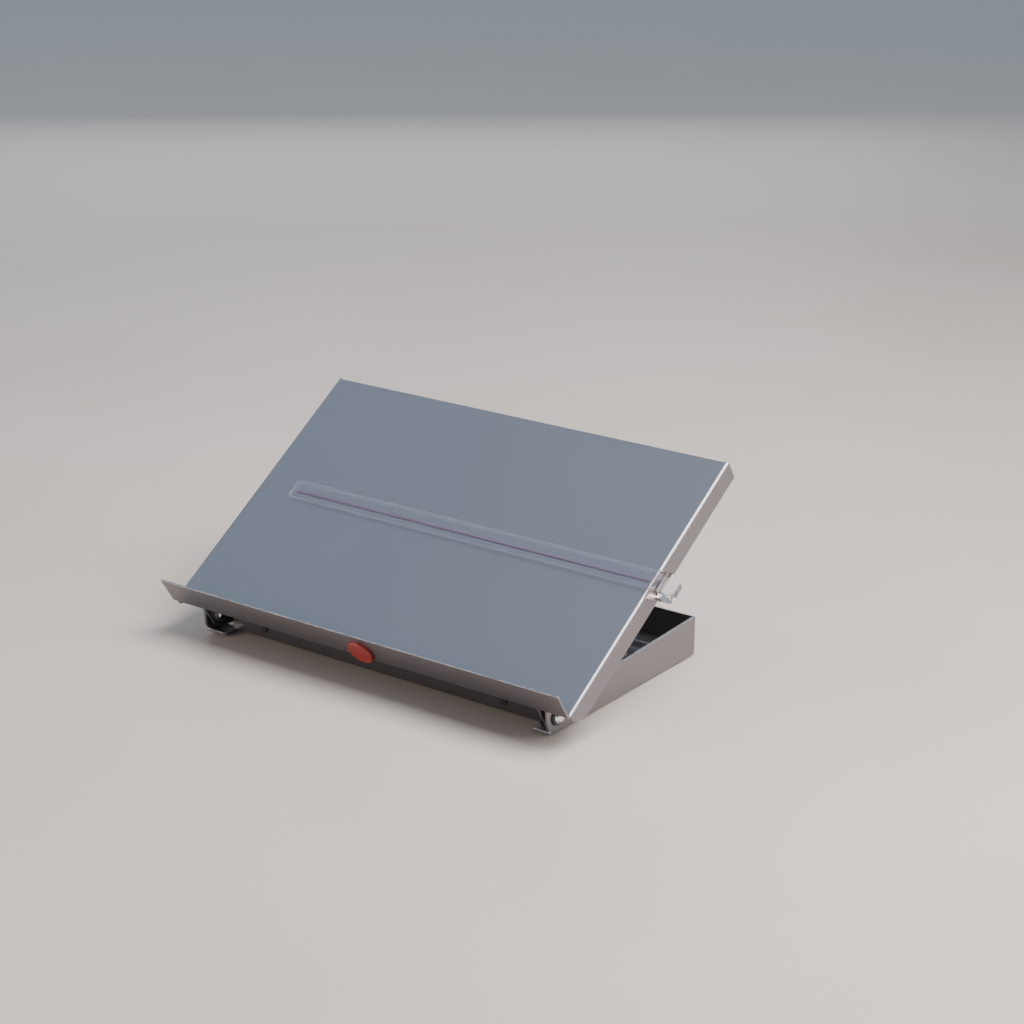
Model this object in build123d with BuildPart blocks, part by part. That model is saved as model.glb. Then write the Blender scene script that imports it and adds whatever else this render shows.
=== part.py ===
"""Tilting desk document holder with a pen drawer, in millimetres.

A folded steel board with an upturned lip hinges on two pins at the front of a low
steel pan. A wire prop under the board slides back over two rails in the pan as the
board folds down. A clear line guide rides up and down the board's right flange, and
a shallow drawer runs forward between the hinge ears, under the lip.

The origin is on the desk, under the middle of the rear rubber strip. +X is to the
right, +Y to the back and +Z up.
"""

from build123d import *
import os
from math import atan2, cos, hypot, radians, sin, tan

os.makedirs("parts", exist_ok=True)

# ---------------------------------------------------------------- driving sizes
# Board, one folded sheet
board_width = 380.0
board_depth = 248.0
board_sheet = 1.2
board_bend = 2.0  # outer radius of its folds
lip_height = 25.0  # above the reading surface
side_flange = 17.4
rear_flange = 9.0
flange_nose = 7.0  # depth of a side flange at its front end
flange_setback = 2.5  # from the lip's face to a side flange's front end
board_tilt = 33.4  # degrees, as it stands

# Base pan
base_inset = 24.0  # from the board's sides in to the pan's
base_rear = 32.0
base_sheet = 2.0
base_bend = 1.5  # outer radius of the rear corners
wall_room = 2.22  # from the walls' rear corners up to the folded board
wall_fall = 7.7  # how much lower the walls are at the front
wall_front_reach = 12.9  # from the hinge axis forward
wall_rake = 1.9  # how far the front edge leans back, top to bottom
wall_toe_radius = 11.0
wall_corner_radius = 2.0  # top front corner
tab_width = 16.0
tab_length = 16.5
tab_setback = 5.3  # behind the walls' front
tab_corner = 3.0
floor_setback = 39.8  # behind the walls' front
shelf_front = 12.0
shelf_rise = 4.5
joggle_run = 4.0
joggle_radius = 2.0
foot_height = 1.8
foot_radius = 5.5
strip_inset = 16.0  # from the pan's sides in to the strip's ends
strip_width = 12.0

# Hinge
hinge_drop = 21.42  # from the reading surface down to the axis
hinge_inset = 11.0  # from the lip's face back to the axis
pin_radius = 3.0
pin_head_rim = 2.2  # head past the shank, as are the next three
washer_rim = 4.0
ear_rim = 6.0
ring_rim = 2.5
pin_head_height = 2.8
pin_head_chamfer = 1.8
pin_tail = 1.2  # past the ring
pin_chamfer = 0.5
washer_thickness = 2.0
head_washer_thickness = 1.0
ear_sheet = 2.0
ear_foot_length = 34.0
ear_foot_width = 20.0
ear_foot_corner = 4.0
ear_shoulder = 6.0  # height of the ear's straight back above the axis
ring_thickness = 1.0

# Prop
prop_reach = 88.8  # from the hinge axis back to the prop's pivot, along the board
prop_drop = 9.0  # from the reading surface down to the pivot
prop_half_width = 85.0
prop_rod_radius = 3.0
prop_bend = 9.0
journal_room = 2.0  # between the rod's bend and its bracket
bracket_width = 10.0
bracket_wall = 3.5  # round the rod
bracket_foot = 3.0
stud_radius = 1.5
stud_room = 4.0  # from the bracket's round part out to a stud's axis
stud_edge = 4.5  # from a stud's axis to the end of the bracket's foot
stud_tail = 1.0  # past the nut
nut_size = 5.5  # across flats
nut_height = 2.4
shoe_inset = 23.0  # from an arm in to a shoe's middle
shoe_wall = 2.9  # round the rod
shoe_end_gap = 1.4  # to the pan's back, folded down
shoe_length = 18.0
shoe_chamfer = 1.5
shoe_rail_width = 16.0
shoe_rail_flange = 7.0
shoe_rail_bridge = 3.0  # length of its top alone, over the joggle

# Drawer
drawer_side_room = 18.0  # for a rail and the hinge, inside a wall
drawer_setback = 16.8  # behind the walls' front
drawer_lift = 0.6  # above the pan's floor
drawer_height = 12.0
drawer_wall = 2.0
drawer_floor = 1.6
drawer_corner = 6.0
pen_bay = 83.8  # from the tray's front back to the divider's middle
divider_height = 8.0
front_overlap = 3.5  # past each side of the tray
front_drop = 0.2  # below the tray
front_height = 16.3
front_sheet = 1.2
scoop_width = 70.0
scoop_depth = 7.0
front_corner = 2.0
glide_thickness = 2.0
glide_front_setback = 9.3  # from the tray's front end
glide_height = 2.9
glide_block_length = 8.0
glide_block_height = 4.9
glide_setback = 8.0  # from the tray's rear end
rail_sheet = 1.2
rail_foot_width = 9.4
rail_setback = 1.5  # behind the floor's front edge
stop_length = 2.0
back_stop_width = 8.0

# Rivets of the rails and of the drawer's front
rivet_radius = 1.5
rivet_head_radius = 2.7
rivet_head_height = 0.8
rivet_margin = 12.0  # from a drawer rail's end
front_rivet_inset = 30.0
front_rivet_rise = 7.0

# Line guide
guide_position = 128.0  # its middle, measured up the board from the lip's face
guide_width = 17.0
guide_thickness = 2.4
guide_inset = 35.0  # from the board's left side
guide_lift = 1.0  # above the reading surface, for the sheet to pass under
guide_corner = 2.0
slider_wall = 0.5  # past each side of the strip
slider_reach = 19.0
slider_depth = 9.6
slider_slope_width = 7.0  # facet from the top down to the outer face
slider_slope_height = 4.5
slider_foot_chamfer = 3.0
slider_corner = 4.0  # facets at the outer corners
slider_seat = 8.0  # how far the strip's end is let into the slider
magnet_radius = 4.0
magnet_thickness = 3.0

# Lip button
button_x = 6.0
button_height = 8.2  # above the reading surface
button_radius = 11.2
button_thickness = 2.8
button_edge = 0.8
button_web = 1.2  # solid front over the rivet's hole
button_shank = 1.5
button_head_radius = 3.2
button_head_height = 0.7
button_head_chamfer = 0.4

# Clearances
pin_clearance = 0.05
stud_clearance = 0.15
side_gap = 0.3  # between moving faces
slide_gap = 0.4  # drawer glide to its rail
tray_gap = 0.7  # tray's side to a rail's lip
arm_gap = 1.0  # drawer's rear to the prop
foot_gap = 2.2  # drawer's rear to the shoe rails
magnet_gap = 0.4  # slider to flange

# ---------------------------------------------------------------- places worked out
tilt = radians(board_tilt)
up_board = (0, cos(tilt), sin(tilt))
off_board = (0, -sin(tilt), cos(tilt))

base_width = board_width - 2 * base_inset
half_base = base_width / 2
wall_inside = half_base - base_sheet
floor_top = foot_height + base_sheet
shelf_top = floor_top + shelf_rise
strip_length = base_width - 2 * strip_inset

# The prop is as long as its pivot is far from the hinge axis, and its foot runs level
# with that axis, so the prop always turns by twice the board's change of tilt. Folded
# down, the foot is twice the prop's reach behind the axis, against the pan's back.
shoe_radius = prop_rod_radius + shoe_wall
hinge_z = shelf_top + side_gap + shoe_radius
hinge_y = base_rear - base_sheet - shoe_end_gap - shoe_radius - 2 * prop_reach
board_y = hinge_y - hinge_inset * up_board[1] + hinge_drop * off_board[1]
board_z = hinge_z - hinge_inset * up_board[2] + hinge_drop * off_board[2]

wall_front = hinge_y - wall_front_reach
wall_top_rear = hinge_z + hinge_drop - board_sheet - wall_room
wall_top_front = wall_top_rear - wall_fall
tab_front = wall_front + tab_setback
tab_rear = tab_front + tab_length
floor_front = wall_front + floor_setback


def on_board(x, s, h=0.0):
    """The point x across, s up the board from the lip's face and h off its surface."""
    y = board_y + s * up_board[1] + h * off_board[1]
    z = board_z + s * up_board[2] + h * off_board[2]
    return (x, y, z)


def board_side(x):
    """A plane across X, with s to its right and h upwards."""
    return Plane(origin=on_board(x, 0), x_dir=up_board, z_dir=(1, 0, 0))


def board_section(s):
    """A plane across the board at s, with x to its right and h upwards."""
    down_board = (0, -up_board[1], -up_board[2])
    return Plane(origin=on_board(0, s), x_dir=(1, 0, 0), z_dir=down_board)


def board_face(h):
    """A plane along the board, with x to its right and s upwards, h off its surface."""
    return Plane(origin=on_board(0, 0, h), x_dir=(1, 0, 0), z_dir=off_board)


pin_head_radius = pin_radius + pin_head_rim
washer_radius = pin_radius + washer_rim
ear_radius = pin_radius + ear_rim
ring_radius = pin_radius + ring_rim
ear_outside = wall_inside - washer_thickness - side_gap
ear_inside = ear_outside - ear_sheet
ring_outside = ear_inside - side_gap
pin_end = ring_outside - ring_thickness - pin_tail
head_base = half_base + head_washer_thickness

pivot_s = hinge_inset + prop_reach
pivot_rise = hinge_drop - prop_drop
prop_length = hypot(prop_reach, pivot_rise)
prop_angle = tilt + atan2(pivot_rise, prop_reach)
prop_pivot = on_board(0, pivot_s, -prop_drop)
prop_dir = (0, cos(prop_angle), -sin(prop_angle))
foot_y = prop_pivot[1] + prop_length * prop_dir[1]
foot_z = prop_pivot[2] + prop_length * prop_dir[2]
bracket_radius = prop_rod_radius + bracket_wall
bracket_out = prop_half_width + prop_bend + journal_room + bracket_width
stud_spacing = 2 * (bracket_radius + stud_room)
bracket_foot_length = stud_spacing + 2 * stud_edge
stud_length = bracket_foot + nut_height + stud_tail
shoe_x = prop_half_width - shoe_inset
shoe_rail_front = foot_y - shoe_radius
shoe_rail_rear = shelf_front - shoe_rail_bridge

# The tray ends where the prop's arms leave room above its rear wall, and short of the
# shoe rails
drawer_half = wall_inside - drawer_side_room
drawer_width = 2 * drawer_half
drawer_bottom = floor_top + drawer_lift
drawer_top = drawer_bottom + drawer_height
drawer_front_y = wall_front + drawer_setback
tray_front = drawer_front_y + front_sheet
arm_room = (drawer_top - foot_z + (prop_rod_radius + arm_gap) / cos(prop_angle)) / tan(prop_angle)
drawer_rear = foot_y - max(arm_room, shoe_radius + foot_gap)
tray_length = drawer_rear - tray_front
divider_y = tray_front + pen_bay
front_width = drawer_width + 2 * front_overlap
front_bottom = drawer_bottom - front_drop
front_top = front_bottom + front_height
glide_bottom = floor_top + side_gap
glide_rear = drawer_rear - glide_setback
glide_length = tray_length - glide_setback - glide_front_setback
glide_top = glide_bottom + glide_height
block_top = glide_bottom + glide_block_height
rail_inside = drawer_half + glide_thickness + slide_gap
rail_outside = rail_inside + rail_sheet
rail_lip = block_top + slide_gap
rail_lip_reach = rail_inside - drawer_half - tray_gap
rail_front = floor_front + rail_setback
rail_rear = drawer_rear + side_gap + rail_sheet
drawer_travel = (glide_rear - glide_block_length) - (rail_front + stop_length) - side_gap

# rivets through the feet of the right-hand rails, then the same on the left
shoe_foot_middle = (shoe_rail_width + shoe_rail_flange) / 2
shoe_rail_rivets = [
    (shoe_x - shoe_foot_middle, shoe_rail_front + 2 * rivet_head_radius),
    (shoe_x + shoe_foot_middle, -strip_width / 2 - 2 * rivet_head_radius),
]
drawer_rivet_x = rail_outside + rail_foot_width / 2
drawer_rail_rivets = [
    (drawer_rivet_x, rail_front + rivet_margin),
    (drawer_rivet_x, rail_rear - rivet_margin),
]
right_rivets = shoe_rail_rivets + drawer_rail_rivets
rail_rivet_points = right_rivets + [(-x, y) for x, y in right_rivets]

front_rivet_x = drawer_half - front_rivet_inset
front_rivet_z = drawer_bottom + front_rivet_rise
front_rivet_points = [(-front_rivet_x, front_rivet_z), (front_rivet_x, front_rivet_z)]

slider_inside = board_width / 2 + magnet_gap
slider_outside = slider_inside + slider_reach
slider_width = guide_width + 2 * slider_wall
slider_low = guide_position - slider_width / 2
guide_left = guide_inset - board_width / 2
guide_top = guide_lift + guide_thickness

# ---------------------------------------------------------------- base
with BuildPart() as base_pan:
    with BuildSketch(Plane.YZ.offset(wall_inside)) as wall:
        with BuildLine():
            Polyline(
                (wall_front, wall_top_front),
                (base_rear, wall_top_rear),
                (base_rear, foot_height),
                (wall_front + wall_rake, foot_height),
                close=True,
            )
        make_face()
        # in the sketch, X runs to the back and Y runs up
        front_corners = wall.vertices().sort_by(Axis.X)[:2]
        fillet(front_corners.sort_by(Axis.Y)[0], wall_toe_radius)
        fillet(wall.vertices().sort_by(Axis.X)[0], wall_corner_radius)
    extrude(amount=base_sheet)
    # the tab that is folded in under the hinge and carries a foot
    with BuildSketch(Plane.XY.offset(foot_height)) as tab:
        with Locations((half_base - (tab_width + base_sheet) / 2, (tab_front + tab_rear) / 2)):
            Rectangle(tab_width + base_sheet, tab_rear - tab_front)
        fillet(tab.vertices().sort_by(Axis.X)[:2], tab_corner)
    extrude(amount=base_sheet)
    mirror(about=Plane.YZ)
    # back wall
    with BuildSketch(Plane.XZ.offset(-base_rear)) as back:
        with Locations((0, foot_height)):
            Rectangle(base_width, wall_top_rear - foot_height, align=(Align.CENTER, Align.MIN))
    extrude(amount=base_sheet)
    # floor with its joggle up to the rear shelf
    with BuildSketch(Plane.YZ) as floor:
        with BuildLine():
            middle = foot_height + base_sheet / 2
            FilletPolyline(
                (floor_front, middle),
                (shelf_front - joggle_run / 2, middle),
                (shelf_front + joggle_run / 2, middle + shelf_rise),
                (base_rear - base_sheet, middle + shelf_rise),
                radius=joggle_radius,
            )
        trace(line_width=base_sheet)
    extrude(amount=wall_inside, both=True)
    upright = base_pan.edges().filter_by(Axis.Z).group_by(Axis.Y)[-1]
    fillet(upright, base_bend)
    # holes for the hinge pins and for the rails' rivets
    with BuildSketch(Plane.YZ.offset(wall_inside)):
        with Locations((hinge_y, hinge_z)):
            Circle(pin_radius + pin_clearance)
    extrude(amount=base_sheet, mode=Mode.SUBTRACT)
    with BuildSketch(Plane.YZ.offset(-wall_inside)):
        with Locations((hinge_y, hinge_z)):
            Circle(pin_radius + pin_clearance)
    extrude(amount=-base_sheet, mode=Mode.SUBTRACT)
    with BuildSketch(Plane.XY.offset(foot_height)):
        with Locations(rail_rivet_points):
            Circle(rivet_radius + pin_clearance)
    extrude(amount=base_sheet, mode=Mode.SUBTRACT)

with BuildPart() as rubber_feet:
    with BuildSketch(Plane.XY):
        tab_middle = half_base - base_sheet - tab_width / 2
        with Locations((-tab_middle, (tab_front + tab_rear) / 2), (tab_middle, (tab_front + tab_rear) / 2)):
            Circle(foot_radius)
        SlotOverall(strip_length, strip_width)
    extrude(amount=foot_height)

# Drawer rails: a foot on the floor, a web, a lip over the glide, a stop at the front
# that catches the glide's rear block, and a tab that stops the tray at the back
with BuildPart() as drawer_rail_right:
    with BuildSketch(Plane.XZ.offset(-rail_front)) as rail_section:
        with Locations((rail_outside, floor_top)):
            Rectangle(rail_foot_width, rail_sheet, align=(Align.MIN, Align.MIN))
        with Locations((rail_inside, floor_top)):
            Rectangle(rail_sheet, rail_lip + rail_sheet - floor_top, align=(Align.MIN, Align.MIN))
        with Locations((rail_outside, rail_lip)):
            Rectangle(rail_lip_reach + rail_sheet, rail_sheet, align=(Align.MAX, Align.MIN))
    extrude(amount=rail_front - rail_rear)
    with BuildSketch(Plane.XZ.offset(-rail_front)):
        with Locations((rail_inside, rail_lip)):
            Rectangle(rail_lip_reach, block_top - glide_top, align=(Align.MAX, Align.MAX))
    extrude(amount=-stop_length)
    with BuildSketch(Plane.XZ.offset(-rail_rear)):
        with Locations((rail_inside, floor_top)):
            Rectangle(back_stop_width, rail_lip - floor_top, align=(Align.MAX, Align.MIN))
    extrude(amount=rail_sheet)
    with BuildSketch(Plane.XY.offset(floor_top)):
        with Locations(drawer_rail_rivets):
            Circle(rivet_radius + pin_clearance)
    extrude(amount=rail_sheet, mode=Mode.SUBTRACT)

with BuildPart() as drawer_rail_left:
    mirror(drawer_rail_right.part, about=Plane.YZ)

# Rails that the prop's shoes slide on: a folded hat, its top level with the shelf
with BuildPart() as shoe_rail_right:
    with BuildSketch(Plane.XZ.offset(-shoe_rail_front)):
        with Locations((shoe_x, floor_top)):
            Rectangle(
                shoe_rail_width + 2 * shoe_rail_flange, rail_sheet, align=(Align.CENTER, Align.MIN)
            )
            Rectangle(shoe_rail_width, shelf_rise, align=(Align.CENTER, Align.MIN))
            Rectangle(
                shoe_rail_width - 2 * rail_sheet,
                shelf_rise - rail_sheet,
                align=(Align.CENTER, Align.MIN),
                mode=Mode.SUBTRACT,
            )
    extrude(amount=shoe_rail_front - shoe_rail_rear)
    # the top runs on over the joggle, up to the shelf
    with BuildSketch(Plane.XZ.offset(-shoe_rail_rear)):
        with Locations((shoe_x, shelf_top)):
            Rectangle(shoe_rail_width, rail_sheet, align=(Align.CENTER, Align.MAX))
    extrude(amount=shoe_rail_rear - shelf_front)
    with BuildSketch(Plane.XY.offset(floor_top)):
        with Locations(shoe_rail_rivets):
            Circle(rivet_radius + pin_clearance)
    extrude(amount=rail_sheet, mode=Mode.SUBTRACT)

with BuildPart() as shoe_rail_left:
    mirror(shoe_rail_right.part, about=Plane.YZ)

# Rivets of all the rails, headed above their feet and flush under the floor
with BuildPart() as rail_rivets:
    with BuildSketch(Plane.XY.offset(foot_height)):
        with Locations(rail_rivet_points):
            Circle(rivet_radius)
    extrude(amount=base_sheet + rail_sheet)
    with BuildSketch(Plane.XY.offset(floor_top + rail_sheet)):
        with Locations(rail_rivet_points):
            Circle(rivet_head_radius)
    extrude(amount=rivet_head_height)

# ---------------------------------------------------------------- hinge
# Headed pin, on the base: its head is outside the wall, on a washer
with BuildPart() as hinge_pin_right:
    with BuildSketch(Plane(origin=(0, hinge_y, hinge_z), x_dir=(1, 0, 0), z_dir=(0, 0, 1))):
        with BuildLine():
            head_end = head_base + pin_head_height
            Polyline(
                (pin_end, 0),
                (pin_end, pin_radius - pin_chamfer),
                (pin_end + pin_chamfer, pin_radius),
                (head_base, pin_radius),
                (head_base, pin_head_radius),
                (head_end - pin_head_chamfer, pin_head_radius),
                (head_end, pin_head_radius - pin_head_chamfer),
                (head_end, 0),
                close=True,
            )
        make_face()
    revolve(axis=Axis((0, hinge_y, hinge_z), (1, 0, 0)))

with BuildPart() as hinge_pin_left:
    mirror(hinge_pin_right.part, about=Plane.YZ)

# Washers between the walls and the ears, and under the pins' heads
with BuildPart() as hinge_washers:
    with BuildSketch(Plane.YZ.offset(wall_inside)):
        with Locations((hinge_y, hinge_z)):
            Circle(washer_radius)
            Circle(pin_radius + pin_clearance, mode=Mode.SUBTRACT)
    extrude(amount=-washer_thickness)
    with BuildSketch(Plane.YZ.offset(half_base)):
        with Locations((hinge_y, hinge_z)):
            Circle(washer_radius)
            Circle(pin_radius + pin_clearance, mode=Mode.SUBTRACT)
    extrude(amount=head_washer_thickness)
    mirror(about=Plane.YZ)

with BuildPart() as hinge_rings:
    with BuildSketch(Plane.YZ.offset(ring_outside)):
        with Locations((hinge_y, hinge_z)):
            Circle(ring_radius)
            Circle(pin_radius + pin_clearance, mode=Mode.SUBTRACT)
    extrude(amount=-ring_thickness)
    mirror(about=Plane.YZ)

# ---------------------------------------------------------------- board
fold = board_bend - board_sheet / 2
half_sheet = board_sheet / 2
with BuildPart() as reading_board:
    # plate and side flanges, one folded channel
    with BuildSketch(board_section(board_bend)):
        with BuildLine():
            edge = board_width / 2 - half_sheet
            FilletPolyline(
                (-edge, -side_flange),
                (-edge, -half_sheet),
                (edge, -half_sheet),
                (edge, -side_flange),
                radius=fold,
            )
        trace(line_width=board_sheet)
    extrude(amount=board_bend - board_depth)
    # front ends of the flanges, cut back so that they clear the desk
    with BuildSketch(board_side(0)):
        with BuildLine():
            nose = flange_setback + side_flange - flange_nose
            Polyline(
                (-1, -board_bend),
                (flange_setback, -board_bend),
                (flange_setback, -flange_nose),
                (nose, -side_flange),
                (nose, -side_flange - 1),
                (-1, -side_flange - 1),
                close=True,
            )
        make_face()
    extrude(amount=board_width, both=True, mode=Mode.SUBTRACT)
    # lip
    with BuildSketch(board_side(0)):
        with BuildLine():
            FilletPolyline(
                (board_bend + 1, -half_sheet),
                (half_sheet, -half_sheet),
                (half_sheet, lip_height),
                radius=fold,
            )
        trace(line_width=board_sheet)
    extrude(amount=board_width / 2, both=True)
    # rear flange, between the side flanges
    rear_width = board_width - 2 * (board_bend + board_sheet)
    with BuildSketch(board_side(0)):
        with Locations((board_depth, 0)):
            Rectangle(board_bend, 2 * board_bend, align=(Align.MAX, Align.CENTER))
    extrude(amount=rear_width / 2, both=True, mode=Mode.SUBTRACT)
    with BuildSketch(board_side(0)):
        with BuildLine():
            FilletPolyline(
                (board_depth - board_bend - 1, -half_sheet),
                (board_depth - half_sheet, -half_sheet),
                (board_depth - half_sheet, -rear_flange),
                radius=fold,
            )
        trace(line_width=board_sheet)
    extrude(amount=rear_width / 2, both=True)
    # hole for the button's rivet
    with BuildSketch(board_section(0)):
        with Locations((button_x, button_height)):
            Circle(button_shank + pin_clearance)
    extrude(amount=-2 * board_sheet, both=True, mode=Mode.SUBTRACT)

# Hinge ear: hangs from the board just inside the wall, round about the pin
with BuildPart() as hinge_ear_right:
    with BuildSketch(board_side(ear_outside)) as ear:
        with BuildLine():
            ear_front = hinge_inset - ear_radius
            ear_back = hinge_inset + ear_radius
            Line((ear_front, -board_sheet), (ear_front, -hinge_drop))
            ThreePointArc(
                (ear_front, -hinge_drop), (hinge_inset, -hinge_drop - ear_radius), (ear_back, -hinge_drop)
            )
            Polyline(
                (ear_back, -hinge_drop),
                (ear_back, -hinge_drop + ear_shoulder),
                (ear_front + ear_foot_length, -board_sheet - ear_sheet),
                (ear_front + ear_foot_length, -board_sheet),
                (ear_front, -board_sheet),
            )
        make_face()
        with Locations((hinge_inset, -hinge_drop)):
            Circle(pin_radius + pin_clearance, mode=Mode.SUBTRACT)
    extrude(amount=-ear_sheet)
    with BuildSketch(board_face(-board_sheet)) as ear_foot:
        with Locations((ear_outside, ear_front)):
            Rectangle(ear_foot_width, ear_foot_length, align=(Align.MAX, Align.MIN))
        fillet(ear_foot.vertices().sort_by(Axis.X)[:2], ear_foot_corner)
    extrude(amount=-ear_sheet)

with BuildPart() as hinge_ear_left:
    mirror(hinge_ear_right.part, about=Plane.YZ)

# Button on the lip's face, held by a flat rivet through the lip
with BuildPart() as lip_button:
    with BuildSketch(board_section(0)):
        with Locations((button_x, button_height)):
            Circle(button_radius)
    extrude(amount=button_thickness)
    front_rim = lip_button.edges().group_by(SortBy.LENGTH)[-1].sort_by(Axis(on_board(0, 0), up_board))[0]
    chamfer(front_rim, button_edge)
    with BuildSketch(board_section(0)):
        with Locations((button_x, button_height)):
            Circle(button_shank + pin_clearance)
    extrude(amount=button_thickness - button_web, mode=Mode.SUBTRACT)

with BuildPart() as button_rivet:
    with BuildSketch(board_section(board_sheet)):
        with Locations((button_x, button_height)):
            Circle(button_head_radius)
    extrude(amount=-button_head_height)
    chamfer(button_rivet.edges().sort_by(Axis(on_board(0, 0), up_board))[-1], button_head_chamfer)
    with BuildSketch(board_section(board_sheet)):
        with Locations((button_x, button_height)):
            Circle(button_shank)
    extrude(amount=board_sheet + button_thickness - button_web - side_gap)

# ---------------------------------------------------------------- prop
# Nylon bracket under the board, clamped on two studs
with BuildPart() as prop_bracket_right:
    with BuildSketch(board_side(bracket_out)) as bracket:
        with BuildLine():
            left = pivot_s - bracket_radius
            right = pivot_s + bracket_radius
            Line((left, -board_sheet), (left, -prop_drop))
            ThreePointArc((left, -prop_drop), (pivot_s, -prop_drop - bracket_radius), (right, -prop_drop))
            Polyline((right, -prop_drop), (right, -board_sheet), (left, -board_sheet))
        make_face()
        with Locations((pivot_s, -board_sheet)):
            Rectangle(bracket_foot_length, bracket_foot, align=(Align.CENTER, Align.MAX))
    extrude(amount=-bracket_width)
    with BuildSketch(board_side(bracket_out)):
        with Locations((pivot_s, -prop_drop)):
            Circle(prop_rod_radius + pin_clearance)
    extrude(amount=-bracket_width, mode=Mode.SUBTRACT)
    with BuildSketch(board_face(-board_sheet)):
        with Locations((bracket_out - bracket_width / 2, pivot_s)):
            with GridLocations(0, stud_spacing, 1, 2):
                Circle(stud_radius + stud_clearance)
    extrude(amount=-bracket_foot, mode=Mode.SUBTRACT)

with BuildPart() as prop_bracket_left:
    mirror(prop_bracket_right.part, about=Plane.YZ)

with BuildPart() as bracket_studs:
    with BuildSketch(board_face(-board_sheet)):
        with Locations((bracket_out - bracket_width / 2, pivot_s)):
            with GridLocations(0, stud_spacing, 1, 2):
                Circle(stud_radius)
    extrude(amount=-stud_length)
    mirror(about=Plane.YZ)

with BuildPart() as bracket_nuts:
    with BuildSketch(board_face(-board_sheet - bracket_foot)):
        with Locations((bracket_out - bracket_width / 2, pivot_s)):
            with GridLocations(0, stud_spacing, 1, 2):
                RegularPolygon(nut_size / 2, 6, major_radius=False)
                Circle(stud_radius + pin_clearance, mode=Mode.SUBTRACT)
    extrude(amount=-nut_height)
    mirror(about=Plane.YZ)

# The prop: one bent rod, with its journals turned outwards into the brackets
prop_normal = (0, sin(prop_angle), cos(prop_angle))
prop_plane = Plane(origin=prop_pivot, x_dir=(1, 0, 0), z_dir=prop_normal)
with BuildPart() as prop_bail:
    with BuildLine(prop_plane) as prop_line:
        # the plane's own Y runs from the foot back to the pivot
        FilletPolyline(
            (-bracket_out, 0),
            (-prop_half_width, 0),
            (-prop_half_width, prop_length),
            (prop_half_width, prop_length),
            (prop_half_width, 0),
            (bracket_out, 0),
            radius=prop_bend,
        )
    with BuildSketch(Plane(origin=prop_line.line @ 0, x_dir=(0, 1, 0), z_dir=(1, 0, 0))):
        Circle(prop_rod_radius)
    sweep(path=prop_line.line)

# Nylon shoes on the prop's foot, which slide on the rails
with BuildPart() as prop_shoes:
    with BuildSketch(Plane(origin=(0, foot_y, foot_z), x_dir=(1, 0, 0), z_dir=(0, 0, 1))) as barrel:
        with Locations((shoe_x, pin_clearance + prop_rod_radius)):
            Rectangle(
                shoe_length,
                shoe_radius - prop_rod_radius - pin_clearance,
                align=(Align.CENTER, Align.MIN),
            )
        chamfer(barrel.vertices().group_by(Axis.Y)[-1], shoe_chamfer)
    revolve(axis=Axis((0, foot_y, foot_z), (1, 0, 0)))
    mirror(about=Plane.YZ)

# ---------------------------------------------------------------- drawer
with BuildPart() as drawer_tray:
    with BuildSketch(Plane.XY.offset(drawer_bottom)) as tray_outline:
        with Locations((0, tray_front)):
            Rectangle(drawer_width, tray_length, align=(Align.CENTER, Align.MIN))
        fillet(tray_outline.vertices().group_by(Axis.Y)[-1], drawer_corner)
    extrude(amount=drawer_height)
    with BuildSketch(Plane.XY.offset(drawer_bottom + drawer_floor)) as hollow:
        with Locations((0, tray_front + drawer_wall)):
            Rectangle(
                drawer_width - 2 * drawer_wall,
                tray_length - 2 * drawer_wall,
                align=(Align.CENTER, Align.MIN),
            )
        fillet(hollow.vertices(), drawer_corner - drawer_wall)
    extrude(amount=drawer_height, mode=Mode.SUBTRACT)
    # a low divider makes a channel for pens at the front
    with BuildSketch(Plane.XY.offset(drawer_bottom)):
        with Locations((0, divider_y)):
            Rectangle(drawer_width - drawer_wall, drawer_wall)
    extrude(amount=drawer_floor + divider_height)
    # the finger scoop and the rivets pass through the tray's front wall too
    with BuildSketch(Plane.XZ.offset(-tray_front)):
        with Locations(front_rivet_points):
            Circle(rivet_radius + pin_clearance)
        with Locations((0, front_top)):
            RectangleRounded(scoop_width, 2 * scoop_depth, scoop_depth - 0.5)
    extrude(amount=-drawer_wall, mode=Mode.SUBTRACT)

with BuildPart() as drawer_front:
    with BuildSketch(Plane.XZ.offset(-tray_front)) as panel:
        with Locations((0, front_bottom)):
            Rectangle(front_width, front_top - front_bottom, align=(Align.CENTER, Align.MIN))
        fillet(panel.vertices(), front_corner)
        with Locations((0, front_top)):
            RectangleRounded(scoop_width, 2 * scoop_depth, scoop_depth - 0.5, mode=Mode.SUBTRACT)
        with Locations(front_rivet_points):
            Circle(rivet_radius + pin_clearance, mode=Mode.SUBTRACT)
    extrude(amount=front_sheet)

with BuildPart() as front_rivets:
    with BuildSketch(Plane.XZ.offset(-drawer_front_y)):
        with Locations(front_rivet_points):
            Circle(rivet_head_radius)
    extrude(amount=rivet_head_height)
    with BuildSketch(Plane.XZ.offset(-drawer_front_y)):
        with Locations(front_rivet_points):
            Circle(rivet_radius)
    extrude(amount=-front_sheet - drawer_wall)

# Nylon glide along each side of the tray, with a taller block at its rear end
with BuildPart() as drawer_glide_right:
    with BuildSketch(Plane.XY.offset(glide_bottom)):
        with Locations((drawer_half, glide_rear)):
            Rectangle(glide_thickness, glide_length, align=(Align.MIN, Align.MAX))
    extrude(amount=glide_height)
    with BuildSketch(Plane.XY.offset(glide_bottom)):
        with Locations((drawer_half, glide_rear)):
            Rectangle(glide_thickness, glide_block_length, align=(Align.MIN, Align.MAX))
    extrude(amount=glide_block_height)

with BuildPart() as drawer_glide_left:
    mirror(drawer_glide_right.part, about=Plane.YZ)

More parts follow.
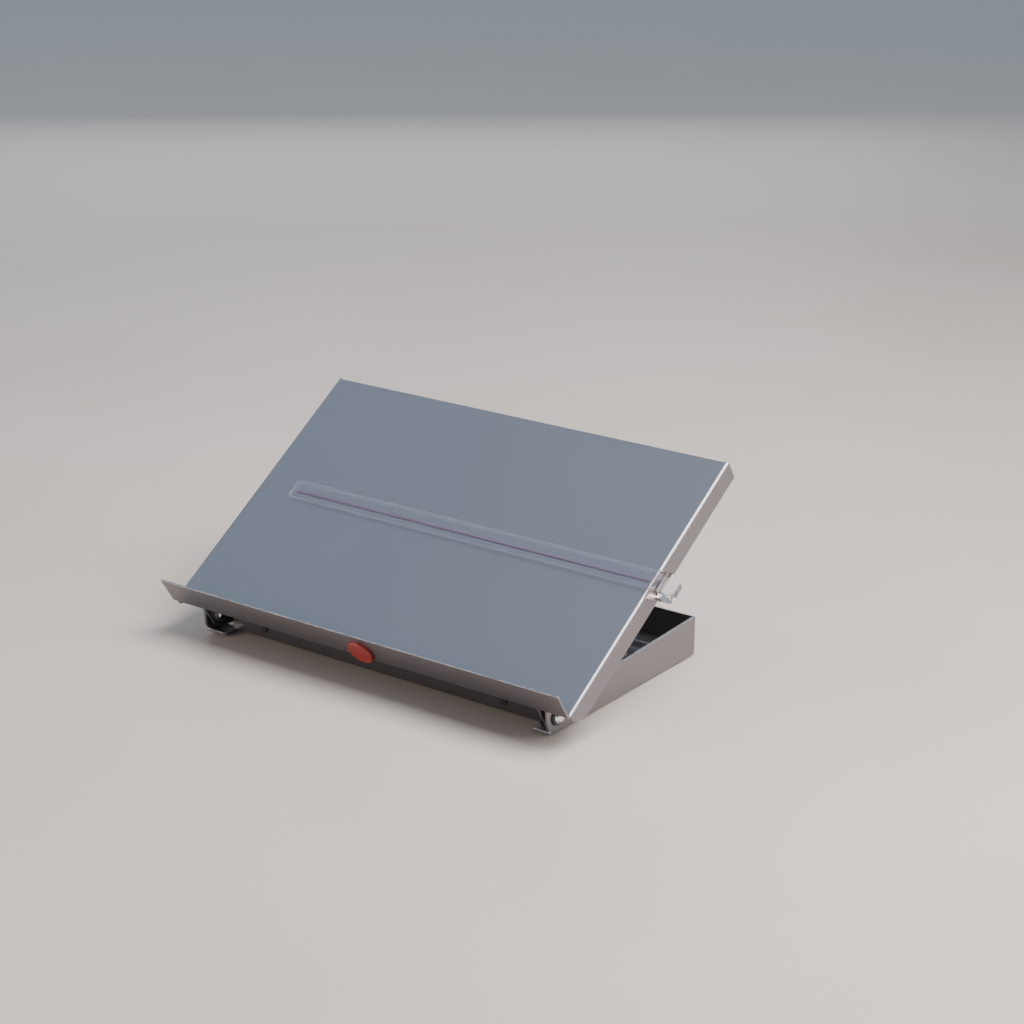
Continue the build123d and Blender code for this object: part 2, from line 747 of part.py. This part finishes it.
# ---------------------------------------------------------------- line guide
with BuildPart() as guide_strip:
    with BuildSketch(board_face(guide_lift)) as strip:
        with Locations((guide_left, guide_position)):
            Rectangle(
                slider_inside + slider_seat - guide_left, guide_width, align=(Align.MIN, Align.CENTER)
            )
        chamfer(strip.vertices().sort_by(Axis.X)[:2], guide_corner)
    extrude(amount=guide_thickness)

# The slider wraps the strip's end and holds the flange with a magnet
with BuildPart() as guide_slider:
    with BuildSketch(board_section(slider_low)):
        with BuildLine():
            Polyline(
                (slider_inside, guide_top),
                (slider_outside - slider_slope_width, guide_top),
                (slider_outside, guide_top - slider_slope_height),
                (slider_outside, slider_foot_chamfer - slider_depth),
                (slider_outside - slider_foot_chamfer, -slider_depth),
                (slider_inside, -slider_depth),
                close=True,
            )
        make_face()
    extrude(amount=-slider_width)
    # its outer corners are cut off, as seen from above the board
    with BuildSketch(board_face(-slider_depth)) as plan:
        with Locations((slider_inside, slider_low)):
            Rectangle(slider_reach, slider_width, align=(Align.MIN, Align.MIN))
        chamfer(plan.vertices().sort_by(Axis.X)[-2:], slider_corner)
    extrude(amount=slider_depth + guide_top, mode=Mode.INTERSECT)
    with BuildSketch(board_face(guide_lift)):
        with Locations((slider_inside, guide_position)):
            Rectangle(slider_seat, guide_width, align=(Align.MIN, Align.CENTER))
    extrude(amount=guide_thickness, mode=Mode.SUBTRACT)
    magnet_h = (guide_lift - slider_depth) / 2
    with BuildSketch(board_side(0).offset(slider_inside)):
        with Locations((guide_position, magnet_h)):
            Circle(magnet_radius)
    extrude(amount=magnet_thickness, mode=Mode.SUBTRACT)

with BuildPart() as slider_magnet:
    with BuildSketch(board_side(0).offset(slider_inside)):
        with Locations((guide_position, magnet_h)):
            Circle(magnet_radius - pin_clearance)
    extrude(amount=magnet_thickness)

# ---------------------------------------------------------------- files
pieces = {
    "base_pan": base_pan,
    "rubber_feet": rubber_feet,
    "drawer_rail_left": drawer_rail_left,
    "drawer_rail_right": drawer_rail_right,
    "shoe_rail_left": shoe_rail_left,
    "shoe_rail_right": shoe_rail_right,
    "rail_rivets": rail_rivets,
    "hinge_pin_left": hinge_pin_left,
    "hinge_pin_right": hinge_pin_right,
    "hinge_washers": hinge_washers,
    "hinge_rings": hinge_rings,
    "reading_board": reading_board,
    "hinge_ear_left": hinge_ear_left,
    "hinge_ear_right": hinge_ear_right,
    "lip_button": lip_button,
    "button_rivet": button_rivet,
    "prop_bracket_left": prop_bracket_left,
    "prop_bracket_right": prop_bracket_right,
    "bracket_studs": bracket_studs,
    "bracket_nuts": bracket_nuts,
    "prop_bail": prop_bail,
    "prop_shoes": prop_shoes,
    "drawer_tray": drawer_tray,
    "drawer_front": drawer_front,
    "front_rivets": front_rivets,
    "drawer_glide_left": drawer_glide_left,
    "drawer_glide_right": drawer_glide_right,
    "guide_strip": guide_strip,
    "guide_slider": guide_slider,
    "slider_magnet": slider_magnet,
}
for label, piece in pieces.items():
    piece.part.label = label
    export_step(piece.part, f"parts/{label}.step")

print(f"drawer travel {drawer_travel:.2f}, prop length {prop_length:.2f}")
print(f"prop foot at y {foot_y:.2f}, z {foot_z:.2f}, shoe radius {shoe_radius:.2f}")
print("hinge", hinge_y, hinge_z, "pivot", [round(v, 4) for v in prop_pivot])
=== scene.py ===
"""Looks of the tilting document holder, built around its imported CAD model.

Everything is in metres in the CAD frame: +X to the right along the lip, +Y to the back, +Z up.
"""

import math

import bmesh
import bpy
from mathutils import Matrix, Vector


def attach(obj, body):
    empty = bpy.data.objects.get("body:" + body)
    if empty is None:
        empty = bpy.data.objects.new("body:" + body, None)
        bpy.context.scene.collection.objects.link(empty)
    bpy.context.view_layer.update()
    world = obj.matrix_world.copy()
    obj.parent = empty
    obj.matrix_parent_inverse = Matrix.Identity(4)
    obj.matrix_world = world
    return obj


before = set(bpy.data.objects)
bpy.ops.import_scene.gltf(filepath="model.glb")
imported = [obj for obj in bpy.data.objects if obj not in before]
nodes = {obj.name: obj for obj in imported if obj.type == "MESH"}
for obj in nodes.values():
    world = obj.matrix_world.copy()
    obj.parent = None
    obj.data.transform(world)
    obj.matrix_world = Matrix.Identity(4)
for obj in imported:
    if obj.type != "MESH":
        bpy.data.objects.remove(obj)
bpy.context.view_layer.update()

# ---------------------------------------------------------------- sizes
MM = 0.001
TILT = math.radians(33.4)
UP_BOARD = Vector((0, math.cos(TILT), math.sin(TILT)))
OFF_BOARD = Vector((0, -math.sin(TILT), math.cos(TILT)))
BOARD_CORNER = Vector((0, -175.875, 26.327)) * MM  # the lip's face meets the reading surface


def on_board(x, s, h):
    """The point x across, s up the board and h off it, all in millimetres."""
    return BOARD_CORNER + Vector((x * MM, 0, 0)) + UP_BOARD * s * MM + OFF_BOARD * h * MM


def add_object(name, data):
    made = bpy.data.objects.new(name, data)
    bpy.context.scene.collection.objects.link(made)
    return made


# ---------------------------------------------------------------- camera
CAMERA_AZIMUTH = math.radians(35.894)
CAMERA_ELEVATION = math.radians(19.059)
CAMERA_ROLL = math.radians(0.516)
CAMERA_TARGET = Vector((0.0673, -0.076, 0.12668))
CAMERA_DISTANCE = 1.75695
CAMERA_CLIP = (0.05, 50)
FOCAL_PIXELS = 2345.7
FRAME_PIXELS = 1024.0
SENSOR = 36.0  # millimetres


def make_camera():
    data = bpy.data.cameras.new("camera")
    data.sensor_width = SENSOR
    data.lens = SENSOR * FOCAL_PIXELS / FRAME_PIXELS
    data.clip_start, data.clip_end = CAMERA_CLIP
    camera = add_object("camera", data)
    back = Vector((
        math.sin(CAMERA_AZIMUTH) * math.cos(CAMERA_ELEVATION),
        -math.cos(CAMERA_AZIMUTH) * math.cos(CAMERA_ELEVATION),
        math.sin(CAMERA_ELEVATION),
    ))
    right = (-back).cross(Vector((0, 0, 1))).normalized()
    up = right.cross(-back)
    rolled_right = right * math.cos(CAMERA_ROLL) + up * math.sin(CAMERA_ROLL)
    rolled_up = up * math.cos(CAMERA_ROLL) - right * math.sin(CAMERA_ROLL)
    turn = Matrix((rolled_right, rolled_up, back)).transposed()
    camera.rotation_mode = "QUATERNION"
    camera.rotation_quaternion = turn.to_quaternion()
    camera.location = CAMERA_TARGET + back * CAMERA_DISTANCE
    bpy.context.scene.camera = camera


# ---------------------------------------------------------------- materials
NOISE_LOW, NOISE_HIGH = 0.3, 0.7  # nearly all of a noise's values lie between these

ROUNDING_RAYS = 6
COAT_ROUNDING = 0.45 * MM
METAL_ROUNDING = 0.25 * MM
MOULDED_ROUNDING = 0.35 * MM
CLEAR_ROUNDING = 0.5 * MM

# where an edge begins and ends, by the rounded normal's dot product with the flat one
AT_EDGE, OFF_EDGE = 0.86, 0.995
# how strong an edge's mix of wear and painted highlight is at the least, and the noise values where
# it is so and where it is full
LEAST_WEAR_AND_HIGHLIGHT = 0.15
PATCH_LEAST, PATCH_FULL = 0.34, 0.56

COAT_ROUGH = (0.325, 0.365)  # a wider span mottles the board
ACRYLIC_IOR = 1.49


def shade(color, factor):
    return tuple(min(1.0, c * factor) for c in color)


class Nodes:
    """A material's node tree, with short calls for the nodes used here."""

    def __init__(self, name):
        self.material = bpy.data.materials.new(name)
        self.material.use_nodes = True
        self.tree = self.material.node_tree
        self.tree.nodes.clear()
        output = self.add("ShaderNodeOutputMaterial")
        self.shader = self.add("ShaderNodeBsdfPrincipled")
        self.link(self.shader.outputs[0], output.inputs["Surface"])
        self.place = self.add("ShaderNodeTexCoord").outputs["Object"]

    def add(self, kind, **inputs):
        """A new node of this kind, with these numbers on its inputs."""
        node = self.tree.nodes.new(kind)
        for key, value in inputs.items():
            node.inputs[key.replace("_", " ")].default_value = value
        return node

    def link(self, a, b):
        self.tree.links.new(a, b)

    def set(self, **values):
        """Puts numbers on the shader's sockets."""
        for key, value in values.items():
            socket = "IOR" if key == "ior" else key.replace("_", " ").title()
            self.shader.inputs[socket].default_value = value

    def paint_with(self, color=None, rough=None, normal=None):
        """Links what varies over the surface to the shader's sockets."""
        for value, socket in ((color, "Base Color"), (rough, "Roughness"), (normal, "Normal")):
            if value is not None:
                self.link(value, self.shader.inputs[socket])

    def noise(self, scale, detail=2.0, rough=0.5):
        """Noise with this many features to the metre."""
        node = self.add("ShaderNodeTexNoise", Scale=scale, Detail=detail, Roughness=rough)
        self.link(self.place, node.inputs["Vector"])
        return node.outputs["Fac"]

    def span(self, value, low, high, start=0.0, stop=1.0):
        """low where the value is start, high where it is stop, and even between."""
        node = self.add(
            "ShaderNodeMapRange", From_Min=start, From_Max=stop, To_Min=low, To_Max=high,
        )
        self.link(value, node.inputs["Value"])
        return node.outputs["Result"]

    def ramp(self, value, low, high, start=NOISE_LOW, stop=NOISE_HIGH):
        """The colour low where the value is start, high where it is stop, and blended between."""
        node = self.add("ShaderNodeValToRGB")
        stops = ((start, low), (stop, high))
        for element, (position, color) in zip(node.color_ramp.elements, stops):
            element.position = position
            element.color = (*color, 1)
        self.link(value, node.inputs["Fac"])
        return node.outputs["Color"]

    def mix(self, factor, low, high):
        """low where the factor is 0 and high where it is 1; either may be a colour or a socket."""
        node = self.add("ShaderNodeMix")
        node.data_type = "RGBA"
        self.link(factor, node.inputs["Factor"])
        for name, value in (("A", low), ("B", high)):
            socket = [s for s in node.inputs if s.name == name and s.type == "RGBA"][0]
            if isinstance(value, tuple):
                socket.default_value = (*value, 1)
            else:
                self.link(value, socket)
        return [s for s in node.outputs if s.type == "RGBA"][0]

    def bump(self, height, strength, distance, below=None):
        node = self.add("ShaderNodeBump", Strength=strength, Distance=distance)
        self.link(height, node.inputs["Height"])
        if below is not None:
            self.link(below, node.inputs["Normal"])
        return node.outputs["Normal"]

    def rounded(self, radius):
        """The normal with every sharp edge rounded off by this radius."""
        node = self.add("ShaderNodeBevel", Radius=radius)
        node.samples = ROUNDING_RAYS
        return node.outputs["Normal"]

    def edges(self, normal, patches=None):
        """1 along the edges that the rounded normal turns on, or less by any patches, 0 elsewhere."""
        dot = self.add("ShaderNodeVectorMath")
        dot.operation = "DOT_PRODUCT"
        self.link(normal, dot.inputs[0])
        self.link(self.add("ShaderNodeNewGeometry").outputs["Normal"], dot.inputs[1])
        edge = self.span(dot.outputs["Value"], 1.0, 0.0, AT_EDGE, OFF_EDGE)
        if patches is None:
            return edge
        both = self.add("ShaderNodeMath")
        both.operation = "MULTIPLY"
        self.link(edge, both.inputs[0])
        self.link(self.span(patches, LEAST_WEAR_AND_HIGHLIGHT, 1.0, PATCH_LEAST, PATCH_FULL), both.inputs[1])
        return both.outputs[0]


def powder_coat(name, color, metallic, wear_and_highlight_color):
    """Satin coat: fine metal flake, a faint orange peel, soft clouds and edges painted lighter,
    partly for wear and partly as a painted highlight.
    """
    m = Nodes(name)
    m.set(metallic=metallic, coat_weight=0.5, coat_roughness=0.1)
    normal = m.rounded(COAT_ROUNDING)
    flake = m.noise(5200, detail=1)
    fleck = m.ramp(flake, shade(color, 0.93), shade(color, 1.07), start=0.35, stop=0.65)
    cloud = m.span(m.noise(9, detail=3), 0.0, 1.0, start=0.35, stop=0.65)
    # every edge is painted in the lighter edge colour, in patches: partly wear from rubbing, partly a
    # painted highlight
    wear_and_highlight_edges = m.edges(normal, m.noise(60, detail=4, rough=0.7))
    peel = m.bump(m.noise(640, detail=1), strength=0.05, distance=0.2 * MM, below=normal)
    m.paint_with(
        color=m.mix(wear_and_highlight_edges, m.mix(cloud, fleck, shade(color, 1.03)), wear_and_highlight_color),
        rough=m.span(m.noise(310, detail=3), *COAT_ROUGH, NOISE_LOW, NOISE_HIGH),
        normal=m.bump(flake, strength=0.05, distance=0.08 * MM, below=peel),
    )
    return m.material


def plain_metal(name, color, rough, corner=METAL_ROUNDING):
    """Bare or plated steel with fine grain, a few dull patches and edges rounded by corner."""
    m = Nodes(name)
    m.set(metallic=1.0)
    normal = m.rounded(corner) if corner else None
    grain = m.noise(1800)
    bright = m.ramp(grain, shade(color, 0.93), shade(color, 1.05))
    dull = m.span(m.noise(28, detail=3), 0.0, 1.0, start=0.45, stop=0.8)
    m.paint_with(
        color=m.mix(dull, bright, shade(color, 0.82)),
        rough=m.span(grain, *rough, NOISE_LOW, NOISE_HIGH),
        normal=m.bump(grain, strength=0.02, distance=0.04 * MM, below=normal),
    )
    return m.material


def moulded(name, color, rough, grain_scale=1300, strength=0.2, rim=None):
    """Moulded plastic or rubber, finely textured, with its edges painted in the rim's colour: wear
    from rubbing on the dark parts, a painted highlight on the red button.
    """
    m = Nodes(name)
    normal = m.rounded(MOULDED_ROUNDING)
    grain = m.noise(grain_scale)
    plain = m.ramp(m.noise(22), shade(color, 0.9), shade(color, 1.1))
    # edges painted in the rim colour: wear from rubbing, and on the red button a painted highlight
    # round its rim
    wear_and_highlight_edges = m.edges(normal, m.noise(90, detail=3))
    m.paint_with(
        color=m.mix(wear_and_highlight_edges, plain, rim or shade(color, 1.5)),
        rough=m.span(grain, *rough, NOISE_LOW, NOISE_HIGH),
        normal=m.bump(grain, strength, distance=0.2 * MM, below=normal),
    )
    return m.material


def clear(name, color, rough, through, veil, rim):
    """Acrylic with faint scuffs and edges painted in the lighter rim colour as a painted highlight;
    veil is how much its faces and its edges hide what is behind.
    """
    m = Nodes(name)
    m.set(ior=ACRYLIC_IOR, transmission_weight=through)
    normal = m.rounded(CLEAR_ROUNDING)
    edge = m.edges(normal)
    scuff = m.noise(120, detail=4, rough=0.65)
    plain = m.ramp(scuff, shade(color, 0.96), shade(color, 1.02))
    # painted highlight: the edges take the lighter rim colour and, by the veil, hide more of what is
    # behind
    m.paint_with(
        color=m.mix(edge, plain, rim),
        rough=m.span(scuff, *rough, start=0.45, stop=0.8),
        normal=m.bump(scuff, strength=0.012, distance=0.05 * MM, below=normal),
    )
    m.link(m.span(edge, *veil), m.shader.inputs["Alpha"])
    return m.material


def paint(material, *names):
    for name in names:
        data = nodes[name].data
        if not data.materials:
            data.materials.append(material)
        for i in range(len(data.materials)):
            data.materials[i] = material


def finish_nodes():
    # the silver coat's edges are painted light grey, for wear and as a painted highlight
    paint(
        powder_coat(
            "silver_powder_coat", (0.168, 0.156, 0.166), metallic=0.9, wear_and_highlight_color=(0.56, 0.55, 0.55),
        ),
        "base_pan", "reading_board", "hinge_ear_left", "hinge_ear_right",
    )
    paint(
        powder_coat(
            "charcoal_powder_coat", (0.009, 0.0085, 0.0085), metallic=0.1, wear_and_highlight_color=(0.03, 0.03, 0.03),
        ),
        "drawer_front",
    )
    paint(
        plain_metal("zinc_plate", (0.15, 0.15, 0.16), rough=(0.4, 0.55)),
        "drawer_rail_left", "drawer_rail_right", "shoe_rail_left", "shoe_rail_right",
    )
    paint(
        plain_metal("zinc_rod", (0.56, 0.57, 0.6), rough=(0.2, 0.3), corner=None),
        "prop_bail",
    )
    paint(
        plain_metal("steel", (0.62, 0.62, 0.63), rough=(0.2, 0.35)),
        "hinge_rings", "rail_rivets", "button_rivet", "bracket_studs", "bracket_nuts",
        "slider_magnet",
    )
    paint(
        plain_metal("pin_steel", (0.82, 0.82, 0.83), rough=(0.12, 0.22)),
        "hinge_pin_left", "hinge_pin_right",
    )
    paint(
        plain_metal("blackened_steel", (0.035, 0.034, 0.034), rough=(0.4, 0.55)),
        "front_rivets",
    )
    paint(
        moulded("nylon", (0.012, 0.012, 0.013), rough=(0.4, 0.55)),
        "hinge_washers", "prop_bracket_left", "prop_bracket_right", "prop_shoes",
        "drawer_glide_left", "drawer_glide_right",
    )
    paint(
        moulded("rubber", (0.01, 0.01, 0.01), rough=(0.6, 0.8), grain_scale=900, strength=0.35),
        "rubber_feet",
    )
    paint(
        moulded("tray_plastic", (0.015, 0.015, 0.017), rough=(0.42, 0.6)),
        "drawer_tray",
    )
    # the button's lighter rim colour is a painted highlight round its edge
    paint(
        moulded(
            "red_plastic", (0.195, 0.016, 0.011), rough=(0.34, 0.46), grain_scale=700,
            strength=0.08, rim=(0.28, 0.065, 0.05),
        ),
        "lip_button",
    )
    # the lighter rim colours of the strip and the slider are painted highlights along their edges
    paint(
        clear(
            "strip_acrylic", (0.115, 0.105, 0.16), rough=(0.08, 0.18), through=0.3,
            veil=(0.13, 0.55), rim=(0.66, 0.65, 0.68),
        ),
        "guide_strip",
    )
    paint(
        clear(
            "slider_acrylic", (0.56, 0.46, 0.46), rough=(0.015, 0.05), through=0.97,
            veil=(0.96, 1.0), rim=(0.8, 0.75, 0.75),
        ),
        "guide_slider",
    )


# ---------------------------------------------------------------- line on the guide, millimetres
LINE_LEFT, LINE_RIGHT = -151.5, 186.5
LINE_PLACE = 127.6  # up the board
LINE_WIDTH = 1.5
LINE_LOW, LINE_HIGH = 0.72, 0.94  # off the board, just under the strip
LINE_BEVEL = 0.07


def make_guide_line():
    """The red line that is laid along the underside of the strip."""
    mesh = bmesh.new()
    half = LINE_WIDTH / 2
    corners = []
    for x in (LINE_LEFT, LINE_RIGHT):
        for s, h in ((-half, LINE_LOW), (half, LINE_LOW), (half, LINE_HIGH), (-half, LINE_HIGH)):
            corners.append(mesh.verts.new(on_board(x, LINE_PLACE + s, h)))
    mesh.faces.new(corners[3::-1])
    mesh.faces.new(corners[4:])
    for i in range(4):
        j = (i + 1) % 4
        mesh.faces.new((corners[i], corners[j], corners[j + 4], corners[i + 4]))
    bmesh.ops.recalc_face_normals(mesh, faces=mesh.faces)
    bmesh.ops.bevel(
        mesh, geom=mesh.edges[:], offset=LINE_BEVEL * MM, segments=2, profile=0.5, affect="EDGES",
    )
    data = bpy.data.meshes.new("guide_line")
    mesh.to_mesh(data)
    mesh.free()
    data.materials.append(moulded(
        "line_red", (0.07, 0.034, 0.05), rough=(0.4, 0.55), grain_scale=1500, strength=0.1,
    ))
    line = add_object("guide_line", data)
    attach(line, "guide")


# ---------------------------------------------------------------- room
FLOOR_SIZE = 60
FLOOR_ROUGH = 0.6
FLOOR_NEAR_DARK = (0.30, 0.26, 0.232)
FLOOR_NEAR_LIGHT = (0.32, 0.282, 0.254)
FLOOR_FAR_PAINTED_LIGHT = (0.86, 0.83, 0.8)  # painted light: paler far off, where the lamps no longer reach
FAR_START, FAR_STOP = 1.5, 5.0

WORLD_COLOR = (0.62, 0.80, 1.0, 1)
WORLD_STRENGTH = 0.36
LIGHTS = (  # name, place, target, width and height, watts, colour
    ("overhead", (0.8, 0.05, 1.6), (0.05, -0.05, 0.08), (1.3, 1.3), 106, (1, 0.98, 0.96)),
    ("side", (1.75, 0.55, 0.85), (0.1, -0.05, 0.08), (1.2, 1.0), 46, (1, 0.98, 0.97)),
    ("sky", (-1.6, -0.1, 2.5), (0, -0.05, 0.1), (2.8, 2.8), 24, (0.53, 0.76, 1.0)),
    ("wall", (-1.5, 1.7, 0.7), (0, -0.05, 0.1), (1.8, 0.7), 12, (1, 1, 1)),
    ("front_left", (-1.0, -1.6, 0.5), (0, -0.2, 0.02), (1.4, 0.6), 26, (1.0, 0.87, 0.8)),
    ("front_right", (1.3, -1.9, 0.9), (0, -0.1, 0.05), (1.2, 0.8), 10, (1.0, 0.92, 0.88)),
)


def make_floor():
    bpy.ops.mesh.primitive_plane_add(size=FLOOR_SIZE, location=(0, 0, 0))
    floor = bpy.context.object
    floor.name = "floor"
    m = Nodes("floor")
    m.set(roughness=FLOOR_ROUGH)
    near = m.ramp(m.noise(3), FLOOR_NEAR_DARK, FLOOR_NEAR_LIGHT)
    distance = m.add("ShaderNodeVectorMath")
    distance.operation = "LENGTH"
    m.link(m.place, distance.inputs[0])
    # painted light: the floor turns to the paler far colour between FAR_START and FAR_STOP out
    away = m.span(distance.outputs["Value"], 0.0, 1.0, FAR_START, FAR_STOP)
    m.paint_with(color=m.mix(away, near, FLOOR_FAR_PAINTED_LIGHT))
    floor.data.materials.append(m.material)


def area_light(name, place, target, size, watts, color):
    data = bpy.data.lights.new(name, "AREA")
    data.shape = "RECTANGLE"
    data.size, data.size_y = size
    data.energy = watts
    data.color = color
    light = add_object(name, data)
    light.location = place
    direction = Vector(target) - Vector(place)
    light.rotation_mode = "QUATERNION"
    light.rotation_quaternion = direction.to_track_quat("-Z", "Y")


def make_lights():
    """A pale blue room, softboxes from overhead round to the right and broad cards at the left."""
    world = bpy.data.worlds.new("world")
    bpy.context.scene.world = world
    world.use_nodes = True
    background = world.node_tree.nodes["Background"]
    background.inputs["Color"].default_value = WORLD_COLOR
    background.inputs["Strength"].default_value = WORLD_STRENGTH
    for light in LIGHTS:
        area_light(*light)


make_camera()
make_floor()
make_lights()
finish_nodes()
make_guide_line()
